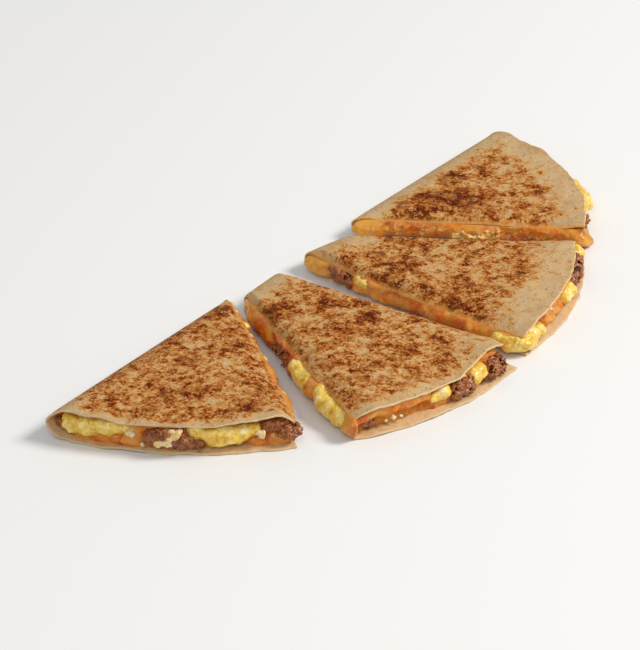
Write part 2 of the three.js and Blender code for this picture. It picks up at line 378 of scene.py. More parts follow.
class Finish(Tree):
    """A material being made: its nodes, and its Principled shader."""

    def __init__(self, name):
        self.material = bpy.data.materials.new(name)
        self.material.use_nodes = True
        self.tree = self.material.node_tree
        self.shader = self.tree.nodes["Principled BSDF"]

    def ramp(self, value, stops):
        """Colours that run into each other as the value grows."""
        node = self.tree.nodes.new("ShaderNodeValToRGB")
        elements = node.color_ramp.elements
        while len(elements) < len(stops):
            elements.new(0.5)
        for element, (place, colour) in zip(elements, stops):
            element.position = place
            element.color = ink(colour)
        plug(self.tree, node.inputs[0], value)
        return Value(self.tree, node.outputs[0])

    def noise(self, size, detail, roughness, seed=0.0, distortion=0.0):
        """Cloudy noise from 0 to 1, whose lumps are about size metres across."""
        place = self.node("ShaderNodeTexCoord", output=3)
        return self.node(
            "ShaderNodeTexNoise", {"noise_dimensions": "4D"}, Vector=place, W=seed,
            Scale=1 / size, Detail=detail, Roughness=roughness, Distortion=distortion,
        )

    def step(self, value, low, high):
        """0 below low, 1 above high, and a smooth step between."""
        return self.node(
            "ShaderNodeMapRange", {"interpolation_type": "SMOOTHSTEP"},
            Value=value, From_Min=low, From_Max=high,
        )

    def mix(self, share, first, second):
        return self.node(
            "ShaderNodeMix", {"data_type": "RGBA"}, output=2, _0=share, _6=first, _7=second,
        )

    def painted(self, name):
        """A value painted on the mesh's points."""
        return self.node("ShaderNodeAttribute", {"attribute_name": name}, output=2)

    def bump(self, height, distance, strength):
        self.set(Normal=self.node("ShaderNodeBump", Strength=strength, Distance=distance, Height=height))

    def set(self, **sockets):
        for key, operand in sockets.items():
            plug(self.tree, self.shader.inputs[key.replace("_", " ")], operand)


def smooth_mesh(name, points, faces):
    mesh = bpy.data.meshes.new(name)
    mesh.from_pydata(np.asarray(points).reshape(-1, 3).tolist(), [], faces)
    mesh.shade_smooth()
    return put_in_scene(name, mesh)


def paint(piece, name, values):
    """Paints a value on each point of a mesh, for its finish to read."""
    attribute = piece.data.attributes.new(name, "FLOAT", "POINT")
    attribute.data.foreach_set("value", np.asarray(values, np.float32).ravel())


def quads(index):
    """Faces between the points of a grid of point numbers."""
    a, b, c, d = index[:-1, :-1], index[1:, :-1], index[1:, 1:], index[:-1, 1:]
    return np.stack((a, b, c, d), -1).reshape(-1, 4)


def fractal(points, size, octaves, seed=0.0):
    """Cloudy noise round 0 at each point, whose lumps are about size metres across."""
    offset = Vector((seed, 1.7 * seed, -seed))
    return np.array([
        noise.fractal(Vector(p) / size + offset, 0.9, 2.1, octaves) for p in points.reshape(-1, 3)
    ]).reshape(points.shape[:-1])


def border(index):
    """The point numbers round the border of a grid of them."""
    return np.concatenate((index[:-1, 0], index[-1, :-1], index[:0:-1, -1], index[0, :0:-1]))


def tortilla(wedge, seed):
    """The folded sheet of a wedge: an outer and an inner skin, with a rounded edge between them."""
    u = np.linspace(-1, 1, 2 * ROWS + 1)
    u = np.sign(u) * np.abs(u) ** CROWDING
    along, across = np.meshgrid(u, np.linspace(0, 1, COLUMNS + 1), indexing="ij")
    length, width = wedge.size_at(along, across)
    from_rim, from_cut = wedge.to_edges(along, across)
    thickness = SHEET * (1 - THINNING * (1 - smooth(np.minimum(from_rim, from_cut), 0, THIN_BAND)))

    def skin(inset, depth, chosen=slice(None)):
        a = np.sign(along) * np.minimum(np.abs(along), 1 - inset / length)
        c = np.clip(across, inset / width, 1 - inset / width)
        return wedge.under(a[chosen], c[chosen], (depth * thickness)[chosen])

    index = np.arange(along.size).reshape(along.shape)
    walk = border(index)
    edge_points = np.unravel_index(walk, along.shape)
    rings = [skin(inset, depth, edge_points) for inset, depth in EDGE_RINGS]
    outer = skin(EDGE_INSET, 0)
    inner = skin(EDGE_INSET, 1)
    points = np.concatenate([outer.reshape(-1, 3), *rings, inner.reshape(-1, 3)])

    steps = [walk] + [index.size + k * len(walk) + np.arange(len(walk)) for k in range(len(rings))]
    inner_index = index + index.size + len(rings) * len(walk)
    steps.append(inner_index.ravel()[walk])
    belt = np.stack([np.append(s, s[0]) for s in steps])
    faces = np.concatenate((quads(index), quads(belt), quads(inner_index)[:, ::-1]))

    def everywhere(values):
        flat = values.ravel()
        return np.concatenate([flat, *([flat[walk]] * len(rings)), flat])

    plan_along = everywhere(along)
    plan_across = everywhere(across)
    rim_away = everywhere(from_rim)
    cut_away = everywhere(from_cut)
    upper = smooth(plan_along, *RELIEF_START)
    near_rim = 1 - smooth(rim_away, 0, RIM_BAND)
    near_cut = 1 - smooth(cut_away, 0, CUT_BAND)
    ragged = 1 - smooth(np.minimum(rim_away, cut_away), 0, RAGGED_BAND)
    slow = fractal(points, WAVE_SIZE, 2, seed)
    quick = fractal(points, BLISTER_SIZE, 3, seed + 5)
    relief = WAVE * slow + BLISTER * quick + WAVE * slow * near_rim - ROLL * near_cut
    for crease_along, crease_across, reach, height, ripples in wedge.creases:
        along_off = (plan_along - crease_along) * everywhere(length)
        across_off = (plan_across - crease_across) * everywhere(width) + CREASE_WANDER * slow
        ridge = np.exp(-(across_off / reach[1]) ** 2 - (along_off / reach[0]) ** 4)
        relief += height * ridge * np.cos(ripples * along_off)
    wander = [RAGGED * fractal(points, RAGGED_SIZE, 4, seed + shift) * ragged for shift in (11, 17)]
    lip = LIP_WAVE * near_rim * np.maximum(fractal(points, LIP_WAVE_SIZE, 2, seed + 23) + 0.3, 0)
    points[:, 0] += wander[0]
    points[:, 1] += wander[1]
    points[:, 2] += relief * upper + lip * (plan_along < 0)
    edge = np.zeros(len(points))
    edge[index.size:index.size + len(rings) * len(walk)] = 1
    inside = np.zeros(len(points))
    inside[inner_index.ravel()] = 1

    piece = smooth_mesh(f"{wedge.name}_toasted_sheet", points, faces.tolist())
    paint(piece, "edge", edge)
    paint(piece, "inside", inside)
    paint(piece, "stain", (1 - smooth(cut_away, 0, STAIN_BAND)) * (plan_along > 0))
    paint(piece, "toast", toasting(wedge, plan_along, plan_across))
    piece.data.materials.append(toasted)
    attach(piece, "root")
    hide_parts(f"{wedge.name}_tortilla")


def toasting(wedge, along, across):
    """How much of the surface is browned, from 0 to 1: less along the rim and on the bend at the fold."""
    toast = wedge.toast
    length, width = wedge.size_at(along, across)
    from_rim, _ = wedge.to_edges(along, across)
    from_fold = wedge.from_fold(wedge.plan(np.abs(along), across))
    value = toast["level"] * smooth(from_rim, *(share * toast["pale_rim"] for share in RIM_FADE))
    if toast["pale_fold"]:
        value *= smooth(from_fold, *(share * toast["pale_fold"] for share in FOLD_FADE))
    for mark_along, mark_across, size, strength in toast["marks"]:
        away = np.hypot((along - mark_along) * length, (across - mark_across) * width)
        value += strength * np.exp(-(away / size) ** 2)
    return value


def toasted_dough():
    """Pale dough, browned in crisp islands a few millimetres across wherever a blister met the griddle."""
    finish = Finish("toasted_dough")
    level = finish.painted("toast")
    place = finish.node("ShaderNodeTexCoord", output=3)
    warp = finish.node("ShaderNodeTexNoise", output=1, Vector=place, Scale=350.0, Detail=3.0)
    warp = finish.node("ShaderNodeVectorMath", {"operation": "SUBTRACT"}, _0=warp, _1=(0.5, 0.5, 0.5))
    warp = finish.node("ShaderNodeVectorMath", {"operation": "SCALE"}, _0=warp, Scale=0.0035)
    warped = finish.node("ShaderNodeVectorMath", _0=place, _1=warp)
    islands = finish.node("ShaderNodeTexVoronoi", Vector=warped, Scale=260.0, Randomness=1.0)
    broad = finish.noise(0.012, detail=2, roughness=0.6)
    spots = finish.noise(0.0046, detail=6, roughness=0.8, seed=3.0, distortion=0.3)
    grain = finish.noise(0.0011, detail=3, roughness=0.75, seed=8.0)
    field = level + (broad - 0.5) * 1.1 + (spots - 0.5) * 2.5 + (grain - 0.5) * 2.4 + (0.45 - islands) * 0.7
    browned = finish.ramp(field, (
        (0.0, "#bea178"), (0.14, "#c3a172"), (0.27, "#c49a62"), (0.37, "#c08e4e"),
        (0.46, "#b6783a"), (0.6, "#ab662a"), (0.7, "#9a5119"), (0.82, "#7e3604"),
        (1.0, "#541a01"),
    ))
    warm = finish.noise(0.005, detail=5, roughness=0.75, seed=12.0)
    speck = finish.noise(0.0013, detail=2, roughness=0.6, seed=15.0)
    browned = finish.mix(finish.step(warm, 0.5, 0.64) * 0.55, browned, "#b47d40")
    browned = finish.mix(finish.step(speck, 0.6, 0.68) * 0.65, browned, "#965c22")
    browned = finish.mix(finish.step(speck, 0.4, 0.3) * 0.6, browned, "#dcbb88")
    crumb = finish.mix(grain, "#c9a87a", "#dcc49c")
    colour = finish.mix(finish.painted("edge"), browned, crumb)
    bare = finish.mix(grain, "#c8a276", "#dabd92")
    bare = finish.mix(finish.step(warm, 0.45, 0.62) * 0.55, bare, "#c08a50")
    colour = finish.mix(finish.painted("inside"), colour, bare)
    colour = finish.mix(finish.painted("stain") * 0.7, colour, finish.mix(spots, "#b8742c", "#dba65a"))
    finish.set(Base_Color=colour, Roughness=0.7, Specular_IOR_Level=0.06)
    finish.bump(field * 0.5 + grain * 0.4, distance=0.0007, strength=0.45)
    return finish.material


toasted = toasted_dough()
for number, wedge in enumerate(WEDGES):
    tortilla(wedge, seed=2.0 + 3 * number)

# ---------------------------------------------------------------------- melted cheese
# A blend of shredded cheddar and jack, melted between the sheets. It is a smooth mass that runs through
# each wedge, sags at the cuts and holds the egg and the sausage.

CORE_INSET = 0.0085  # a layer's core ends this far inside the open sides
CORE_START = 0.07  # and starts at this share of the length from the fold
FOLD_GAP = 0.018  # share of a cut left bare at the fold
FACE_STEPS = 900
FACE_ROWS = 26
FACE_DEPTH = 0.0015
FACE_FOOT = -0.06  # the face starts and ends inside the two sheets, in shares of the gap between them
FACE_HEAD = 1.08
RIM_LOWER = 0.09  # and ends this much lower along the rim
LIP_HEAD = 0.0045  # how far it stands back along the rim, under the upper lip
LIP_FOOT = 0.001  # and how much further at its foot
CUT_SAG = 0.0019  # how far it sags out at a cut
CUT_PROUD = 0.0004  # and how far its head and foot stand proud there
SWELL = 0.0017  # slow swells of the melted face
SWELL_SIZE = 0.011
RIPPLE = 0.0009
RIPPLE_SIZE = 0.0034
SAG_ENDS = 0.03  # half the stretch of the walk over which a sag begins or ends
SAG_EDGES = 0.2  # and half the share of the gap
TURNS_LEFT = (0.98, 1.03)  # where the face turns from a cut into the rim, on the walk
TURNS_RIGHT = (2.0, 2.12)
GOLDEN_BAND = (0.07, 0.2)  # where its golden patch close to the fold ends
# The dark foot of a cut is partly painted shade and partly browned cheese.
DEEP_BAND = (0.86, 0.94)  # where the dark foot of a cut ends
CHEESE_LAYER = {"slice_1": (0, 0.36), "slice_2": (0.55, 1), "slice_3": (0.5, 1), "slice_4": (0.45, 1)}

# A sag: where it starts and ends on the walk round the open sides, its lowest and highest share of the
# gap between the sheets, how far it pushes out, and how golden it is. Where it pushes in, it leaves a
# hollow.
CHEESE_SAGS = {
    "slice_1": (
        (0.2, 0.74, -0.2, 0.4, 0.003, 0.3), (0.6, 0.74, 0.2, 0.9, 0.0028, 0.4),
        (0.9, 1.1, -0.2, 0.3, 0.002, 0.3), (1.66, 2.02, -0.2, 0.4, 0.003, 0.3),
    ),
    "slice_2": (
        (0.32, 0.47, -0.2, 0.8, -0.003, 0), (0.48, 0.55, -0.2, 0.6, 0.001, 0),
        (0.55, 0.66, -0.2, 1.2, -0.001, 0), (0.66, 0.73, 0.3, 1.2, 0.002, 0.7),
        (0.73, 0.95, -0.2, 1.2, -0.001, 0.4), (0.95, 1.0, -0.2, 1.2, -0.0006, 0.9),
        (1.0, 1.42, 0.55, 1.2, 0.003, 0), (1.0, 1.06, -0.2, 0.6, 0.0015, 0),
        (1.42, 1.98, -0.2, 1.2, 0.0018, 0.4),
    ),
    "slice_3": (
        (0.13, 0.25, -0.2, 1.0, -0.003, 0), (0.26, 0.42, 0.2, 1.2, 0.0002, 0.7),
        (0.5, 0.56, -0.2, 0.2, -0.002, 0), (0.9, 1.0, -0.2, 0.5, -0.002, 0.3),
        (1.24, 1.42, 0.1, 0.8, 0.0026, 0.5), (1.42, 2.0, -0.2, 1.2, 0.0015, 0),
    ),
    "slice_4": (
        (0.02, 0.14, -0.2, 0.7, 0.0012, 0.6), (0.94, 1.12, -0.2, 1.2, 0.0012, 0.7),
    ),
}


class Filling:
    """Points and faces gathered for one piece of the filling."""

    def __init__(self, wedge=None):
        self.wedge = wedge
        self.points = []
        self.faces = []

    def add(self, block, corners):
        offset = sum(len(p) for p in self.points)
        self.points.append(block.reshape(-1, 3))
        self.faces.extend([[corner + offset for corner in face] for face in corners])

    def front(self, sags):
        """The melted face of the wedge, which sags out between the sheets at a cut and stands back from the
        lips along the rim. Returns how low down each point is, which sets the painted shade and browning at
        the foot of a cut, and how golden each point is."""
        wedge = self.wedge
        steps = np.linspace(FOLD_GAP, 3 - FOLD_GAP, FACE_STEPS)
        walk, share = np.meshgrid(steps, np.linspace(0, 1, FACE_ROWS), indexing="ij")
        past_left = 1 if wedge.opens_left else smooth(walk, *TURNS_LEFT)
        past_right = 1 if wedge.opens_right else 1 - smooth(walk, *TURNS_RIGHT)
        rim = past_left * past_right
        round_face = 1 - np.abs(2 * share - 1) ** 4
        tall = (FACE_HEAD - FACE_FOOT - RIM_LOWER * rim) * share + FACE_FOOT
        place = wedge.opening(walk, 0 * walk, tall)
        swell = SWELL * fractal(place, SWELL_SIZE, 2)
        ripple = RIPPLE * fractal(place, RIPPLE_SIZE, 3)
        behind = rim * (LIP_HEAD + LIP_FOOT * (1 - share) ** 1.5) - (1 - rim) * CUT_PROUD
        sag = CUT_SAG * (1 - rim) * (1.3 - 0.6 * share)
        behind -= round_face * (sag + swell + ripple)
        from_fold = np.where(walk < 1.5, walk, 3 - walk)
        golden = (1 - smooth(from_fold, *GOLDEN_BAND)) * (1 - rim)
        for start, end, low, high, push, tint in sags:
            begun = smooth(walk, start - SAG_ENDS, start + SAG_ENDS)
            along_it = begun * (1 - smooth(walk, end - SAG_ENDS, end + SAG_ENDS))
            above_foot = smooth(share, low - SAG_EDGES, low + SAG_EDGES)
            below_head = 1 - smooth(share, high - SAG_EDGES, high + SAG_EDGES)
            behind -= push * along_it * above_foot * below_head
            golden = np.maximum(golden, tint * along_it)
        tall = np.minimum(tall, FACE_HEAD - 0.1 * smooth(behind, 0.0004, 0.0008))
        face = wedge.opening(walk, behind, tall)
        back = wedge.opening(walk, np.maximum(behind, 0) + FACE_DEPTH, tall)
        block = np.concatenate((face, back[:, [-1, 0]]), axis=1)
        index = np.arange(block.shape[0] * block.shape[1]).reshape(block.shape[:2])
        corners = quads(np.concatenate((index, index[:, :1]), axis=1)).tolist()
        self.add(block, corners + [index[0].tolist(), index[-1, ::-1].tolist()])
        # Towards the foot of a cut the face is painted darker: partly painted shade, partly cheese browned
        # there.
        foot_shade_and_browning = (1 - share) * (1 - rim) * (1 - smooth(from_fold, *DEEP_BAND)) * (1 - 0.7 * golden)
        return foot_shade_and_browning, golden

    def core(self, low, high):
        """The part of a layer deep inside the wedge."""
        along, across = np.meshgrid(np.linspace(CORE_START, 1, 24), np.linspace(0, 1, 16), indexing="ij")
        length, width = self.wedge.size_at(along, across)
        along = np.minimum(along, 1 - CORE_INSET / length)
        across = np.clip(across, CORE_INSET / width, 1 - CORE_INSET / width)
        ceiling = self.wedge.inside(along, across, np.full(along.shape, high))
        bottom = self.wedge.inside(along, across, np.full(along.shape, low))
        index = np.arange(along.size).reshape(along.shape)
        walk = border(index)
        ring = np.append(walk, walk[0])
        sides = quads(np.stack((ring, ring + index.size)))
        corners = np.concatenate((quads(index), sides, quads(index + index.size)[:, ::-1]))
        self.add(np.stack((ceiling, bottom)), corners.tolist())


def melted_cheese():
    finish = Finish("melted_cheese")
    cloud = finish.noise(0.007, detail=5, roughness=0.65, seed=1.0, distortion=0.5)
    fine = finish.noise(0.0016, detail=3, roughness=0.6, seed=4.0)
    colour = finish.ramp(cloud * 0.8 + fine * 0.2, (
        (0.32, "#7e3206"), (0.41, "#ac4e0a"), (0.46, "#c8640e"), (0.51, "#d07616"),
        (0.55, "#cc842c"), (0.6, "#d5963a"), (0.67, "#e0b456"),
    ))
    broad = finish.noise(0.013, detail=2, roughness=0.6, seed=22.0)
    colour = finish.mix(finish.step(broad, 0.5, 0.6) * 0.42, colour, "#d69e3e")
    colour = finish.mix(finish.step(broad, 0.46, 0.36) * 0.4, colour, "#a84e14")
    golden = finish.step(finish.painted("golden") + cloud, 0.6, 1.5)
    colour = finish.mix(golden * 0.85, colour, "#d8a040")
    # Darker red-brown towards the foot of a cut: partly painted shade, partly cheese browned there.
    painted_shade_and_browning = finish.step(finish.painted("low") + cloud * 0.5, 0.55, 1.25)
    colour = finish.mix(painted_shade_and_browning * 0.85, colour, "#64240a")
    finish.set(Base_Color=colour, Roughness=0.28, Specular_IOR_Level=0.28)
    finish.set(Coat_Weight=0.28, Coat_Roughness=0.1)
    finish.set(Subsurface_Weight=0.12, Subsurface_Radius=(1.0, 0.45, 0.15), Subsurface_Scale=0.0015)
    finish.bump(cloud * 0.5 + fine * 0.5, distance=0.0006, strength=0.4)
    return finish.material


cheese_finish = melted_cheese()
for wedge in WEDGES:
    cheese = Filling(wedge)
    painted = cheese.front(CHEESE_SAGS[wedge.name])
    cheese.core(*CHEESE_LAYER[wedge.name])
    points = np.concatenate(cheese.points)
    piece = smooth_mesh(f"{wedge.name}_melted_cheese", points, cheese.faces)
    for name, values in zip(("low", "golden"), painted):
        everywhere = np.zeros(len(points))
        face = np.pad(values, ((0, 0), (0, 2)))
        everywhere[:face.size] = face.ravel()
        paint(piece, name, everywhere)
    piece.data.materials.append(cheese_finish)
    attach(piece, "root")
    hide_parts(f"{wedge.name}_cheese")

# ---------------------------------------------------------------------- scrambled egg
# Soft scrambled egg in curds 7 to 15 mm across that have run together. It lies in a layer beside the
# cheese, and bulges out from between the sheets where it reaches a cut.

EGG_RADIUS = 0.0026  # of the lumps strewn over the curds
EGG_LAYER = {"slice_1": (0.36, 1), "slice_2": (0, 0.55), "slice_3": (0, 0.5), "slice_4": (0, 0.45)}
EGG_MELT = {"slice_1": 34, "slice_2": 62, "slice_3": 62, "slice_4": 50}
EGG_FOLDS = {"slice_1": 0.0036, "slice_2": 0.0026, "slice_3": 0.0026, "slice_4": 0.003}
COAT = 0.7  # the lumps strewn over a ball thicken it by this share of their radius
THINNEST = 0.0004  # the least half thickness of a ball
FLATTENING = 0.85
UNEVEN = 0.4
LEAST_ROOM = 0.12  # share of the gap that a ball may always take on each side of its middle

# A curd: its place on the walk round the open sides, how far its face stands behind them, its share of
# the gap between the sheets, and its radius.
EGG_CURDS = {
    "slice_1": (
        (0.15, 0.0006, 0.55, 0.0044), (0.2, 0.0003, 0.5, 0.005), (0.26, 0.0004, 0.5, 0.0056),
        (0.33, 0.0006, 0.55, 0.0048), (0.4, 0.0008, 0.6, 0.0044), (0.47, 0.001, 0.65, 0.0042),
        (0.54, 0.0014, 0.74, 0.004), (0.6, 0.0018, 0.8, 0.0034), (1.28, 0.001, 0.85, 0.004),
        (1.35, 0.0006, 0.75, 0.005), (1.42, 0.0004, 0.6, 0.0056), (1.49, 0.0006, 0.5, 0.0052),
        (1.56, 0.0006, 0.5, 0.0048), (1.63, 0.0008, 0.55, 0.0046), (1.69, 0.0014, 0.6, 0.0038),
        (2.26, -0.0026, 0.5, 0.0045), (2.55, -0.003, 0.7, 0.004), (2.68, -0.0034, 0.75, 0.0042),
        (2.8, -0.0036, 0.75, 0.0045), (2.9, -0.0034, 0.7, 0.0038),
    ),
    "slice_2": (
        (0.55, -0.0046, 0.72, 0.006), (0.6, -0.006, 0.55, 0.0076), (0.65, -0.0052, 0.4, 0.0064),
        (0.74, -0.005, 0.78, 0.0064), (0.79, -0.0062, 0.6, 0.0076), (0.84, -0.0062, 0.45, 0.0074),
        (0.89, -0.005, 0.4, 0.006), (0.93, -0.0036, 0.45, 0.0046), (1.45, 0.0002, 0.5, 0.0034),
        (1.5, -0.001, 0.65, 0.004), (1.7, -0.0014, 0.55, 0.005), (1.76, -0.0012, 0.6, 0.0042),
        (2.18, -0.003, 0.5, 0.005), (2.3, -0.0028, 0.6, 0.0042), (2.56, -0.003, 0.45, 0.0048),
    ),
    "slice_3": (
        (0.27, -0.0036, 0.72, 0.0044), (0.31, -0.0034, 0.68, 0.0042), (0.35, -0.003, 0.6, 0.0036),
        (0.9, -0.0046, 0.4, 0.0054), (0.95, -0.0054, 0.4, 0.0062), (1.0, -0.0034, 0.4, 0.0064),
        (1.05, -0.002, 0.4, 0.006), (1.11, -0.0008, 0.35, 0.0054), (1.17, -0.0002, 0.3, 0.0046),
        (1.5, -0.0004, 0.3, 0.004), (1.57, -0.0012, 0.35, 0.0048), (1.96, -0.0026, 0.45, 0.0054),
        (2.24, -0.003, 0.5, 0.0045), (2.34, -0.0028, 0.5, 0.0048), (2.7, -0.003, 0.5, 0.0044),
    ),
    "slice_4": (
        (1.4, -0.001, 0.65, 0.0048), (1.48, -0.0032, 0.7, 0.0058), (1.56, -0.0044, 0.72, 0.0066),
        (1.64, -0.0046, 0.72, 0.0066), (1.72, -0.004, 0.72, 0.006), (1.8, -0.0024, 0.7, 0.0048),
        (2.2, 0.001, 0.5, 0.0042), (2.28, 0.0008, 0.6, 0.0045), (2.5, 0.001, 0.5, 0.004),
    ),
}


class Growth(Tree):
    """A tree of geometry nodes with named inputs."""

    def __init__(self, name, **inputs):
        self.tree = bpy.data.node_groups.new(name, "GeometryNodeTree")
        face = self.tree.interface
        face.new_socket("Geometry", in_out="INPUT", socket_type="NodeSocketGeometry")
        face.new_socket("Geometry", in_out="OUTPUT", socket_type="NodeSocketGeometry")
        for key, kind in inputs.items():
            face.new_socket(key, in_out="INPUT", socket_type=f"NodeSocket{kind}")
        self.entry = self.tree.nodes.new("NodeGroupInput")

    def given(self, name):
        return Value(self.tree, self.entry.outputs[name])

    def end(self, geometry):
        plug(self.tree, self.tree.nodes.new("NodeGroupOutput").inputs[0], geometry)

    def grow(self, piece, **inputs):
        """Runs the tree on a piece with these inputs, and keeps the result as its plain mesh."""
        modifier = piece.modifiers.new(self.tree.name, "NODES")
        modifier.node_group = self.tree
        for item in self.tree.interface.items_tree:
            if item.in_out == "INPUT" and item.name in inputs:
                modifier[item.identifier] = inputs[item.name]
        grown = bpy.data.meshes.new_from_object(piece.evaluated_get(bpy.context.evaluated_depsgraph_get()))
        piece.modifiers.clear()
        piece.data = grown


def clotted_mass():
    """Lumps strewn over the faces marked strewn and run together into one skin. The rest stays as it is."""
    growth = Growth(
        "clotted_mass", Radius="Float", Gap="Float", Voxel="Float", Melt="Int", Folds="Float",
        Fold_size="Float", Grains="Float", Grain_size="Float", Seed="Int", Material="Material",
    )
    given = growth.given
    strewn = growth.node("GeometryNodeInputNamedAttribute", {"data_type": "BOOLEAN"}, Name="strewn")
    faces = growth.node(
        "GeometryNodeSeparateGeometry", {"domain": "FACE"}, Geometry=given("Geometry"), Selection=strewn,
    )
    core = Value(growth.tree, faces.socket.node.outputs[1])
    points = growth.node(
        "GeometryNodeDistributePointsOnFaces", {"distribute_method": "POISSON"}, Mesh=faces,
        Distance_Min=given("Gap"), Density_Max=2e6, Seed=given("Seed"),
    )
    lump = growth.node("GeometryNodeMeshIcoSphere", Radius=given("Radius"), Subdivisions=2)
    turn = growth.node(
        "FunctionNodeRandomValue", {"data_type": "FLOAT_VECTOR"}, _1=(6.28, 6.28, 6.28),
        Seed=given("Seed"),
    )
    stretch = growth.node(
        "FunctionNodeRandomValue", {"data_type": "FLOAT_VECTOR"},
        _0=(0.6, 0.6, 0.6), _1=(1.25, 1.1, 1.1), Seed=given("Seed") + 1,
    )
    lumps = growth.node(
        "GeometryNodeInstanceOnPoints", Points=points, Instance=lump, Rotation=turn, Scale=stretch,
    )
    heap = growth.node("GeometryNodeRealizeInstances", Geometry=lumps)
    cloud = growth.node(
        "GeometryNodeMeshToVolume", {"resolution_mode": "VOXEL_SIZE"}, Mesh=heap,
        Voxel_Size=given("Voxel"), Interior_Band_Width=given("Voxel") * 3,
    )
    skin = growth.node(
        "GeometryNodeVolumeToMesh", {"resolution_mode": "VOXEL_SIZE"}, Volume=cloud,
        Voxel_Size=given("Voxel"), Threshold=0.1,
    )
    place = growth.node("GeometryNodeInputPosition")
    melted = growth.node(
        "GeometryNodeBlurAttribute", {"data_type": "FLOAT_VECTOR"}, Value=place, Iterations=given("Melt"),
    )
    skin = growth.node("GeometryNodeSetPosition", Geometry=skin, Position=melted)
    fold_scale = 1.0 / given("Fold_size")
    pillows = growth.node("ShaderNodeTexNoise", Scale=fold_scale, Detail=1.5, Roughness=0.5, Distortion=0.4)
    grains = growth.node("ShaderNodeTexVoronoi", Scale=1.0 / given("Grain_size"))
    height = (abs(pillows - 0.5) - 0.1) * given("Folds") + (0.45 - grains) * given("Grains")
    normal = growth.node("GeometryNodeInputNormal")
    lift = growth.node("ShaderNodeVectorMath", {"operation": "SCALE"}, _0=normal, Scale=height)
    skin = growth.node("GeometryNodeSetPosition", Geometry=skin, Offset=lift)
    joined = growth.tree.nodes.new("GeometryNodeJoinGeometry")
    growth.tree.links.new(core.socket, joined.inputs[0])
    growth.tree.links.new(skin.socket, joined.inputs[0])
    smoothed = growth.node("GeometryNodeSetShadeSmooth", Geometry=Value(growth.tree, joined.outputs[0]))
    real = growth.node("GeometryNodeRealizeInstances", Geometry=smoothed)
    growth.end(growth.node("GeometryNodeSetMaterial", Geometry=real, Material=given("Material")))
    return growth


clotted = clotted_mass()


def on_ball(turn, tilt):
    """A point on a ball of radius 1."""
    return np.stack((np.cos(turn) * np.sin(tilt), np.sin(turn) * np.sin(tilt), np.cos(tilt)), -1)


class Clotted(Filling):
    """A filling with small lumps strewn over some of its faces, all run together into one skin."""

    def __init__(self, wedge, radius):
        super().__init__(wedge)
        self.radius = radius
        self.strewn = []

    def add(self, block, corners, is_strewn=False):
        super().add(block, corners)
        self.strewn.extend([is_strewn] * len(corners))

    def ball(self, walk, front, share, reach):
        """An uneven ball whose face stands this far behind the open sides, kept between the sheets."""
        turns, rows, pole = 18, 10, 0.25
        turn, tilt = np.meshgrid(
            np.linspace(0, 2 * math.pi, turns, endpoint=False), np.linspace(pole, math.pi - pole, rows),
            indexing="ij",
        )
        ball = on_ball(turn, tilt)
        at = np.array([walk]), np.array([front + reach])
        middle = self.wedge.opening(*at, np.array([share]))[0]
        room = (self.wedge.opening(*at, np.ones(1)) - self.wedge.opening(*at, np.zeros(1)))[0, 2]
        coat = COAT * self.radius
        size = np.maximum(reach * np.array((1, 1, FLATTENING)) - coat, THINNEST)
        uneven = 1 + UNEVEN * fractal(ball + 40 * walk, 1.1, 2)
        block = middle + ball * uneven[..., None] * size
        lowest = middle[2] - max(room * max(share, LEAST_ROOM) - coat, THINNEST)
        highest = middle[2] + max(room * max(1 - share, LEAST_ROOM) - coat, THINNEST)
        block[..., 2] = np.clip(block[..., 2], lowest, highest)
        index = np.arange(turn.size).reshape(turn.shape)
        corners = quads(np.vstack((index, index[:1]))).tolist()
        self.add(block, corners + [index[::-1, 0].tolist(), index[:, -1].tolist()], True)

    def grown(self, name, slot, nodes, **inputs):
        """Makes the piece, which stands for these nodes."""
        piece = smooth_mesh(name, np.concatenate(self.points), self.faces)
        piece.data.attributes.new("strewn", "BOOLEAN", "FACE").data.foreach_set("value", self.strewn)
        clotted.grow(piece, Radius=self.radius, **inputs)
        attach(piece, "root")
        if nodes:
            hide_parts(*nodes)


def scrambled_egg():
    finish = Finish("scrambled_egg")
    cloud = finish.noise(0.004, detail=4, roughness=0.65, seed=2.0)
    fine = finish.noise(0.0011, detail=3, roughness=0.65, seed=6.0)
    colour = finish.ramp(cloud * 0.7 + fine * 0.3, (
        (0.32, "#b8821c"), (0.43, "#d4a632"), (0.5, "#e2bd4c"), (0.56, "#eccf74"),
        (0.64, "#f4e2ae"),
    ))
    finish.set(Base_Color=colour, Roughness=0.3, Specular_IOR_Level=0.4)
    finish.set(Coat_Weight=0.25, Coat_Roughness=0.12)
    finish.set(Subsurface_Weight=0.2, Subsurface_Radius=(1.0, 0.7, 0.25), Subsurface_Scale=0.0015)
    finish.bump(cloud * 0.4 + fine * 0.6, distance=0.0004, strength=0.3)
    return finish.material


egg_finish = scrambled_egg()
for number, wedge in enumerate(WEDGES):
    egg = Clotted(wedge, EGG_RADIUS)
    egg.core(*EGG_LAYER[wedge.name])
    for curd in EGG_CURDS[wedge.name]:
        egg.ball(*curd)
    egg.grown(
        f"{wedge.name}_scrambled_egg", "egg", [f"{wedge.name}_egg"], Gap=0.0016, Voxel=0.00035,
        Melt=EGG_MELT[wedge.name], Folds=EGG_FOLDS[wedge.name], Fold_size=0.0075,
        Grains=0.00025, Grain_size=0.0014, Seed=31 + number, Material=egg_finish,
    )

# ---------------------------------------------------------------------- pale flake
# A pale flake of egg white and jack cheese on the rim of the first wedge. It slants up between two
# crumbles of sausage to the upper sheet.

FLAKE_RADIUS = 0.0011

# The lumps of the flake, each given as a curd of egg is.
FLAKE = (
    (0.93, -0.0022, 0.34, 0.0022), (0.965, -0.003, 0.42, 0.0026), (1.0, -0.0036, 0.5, 0.0028),
    (1.03, -0.0036, 0.62, 0.0028), (1.06, -0.003, 0.75, 0.0028), (1.095, -0.0022, 0.88, 0.0026),
    (1.05, -0.002, 0.9, 0.0022),
)


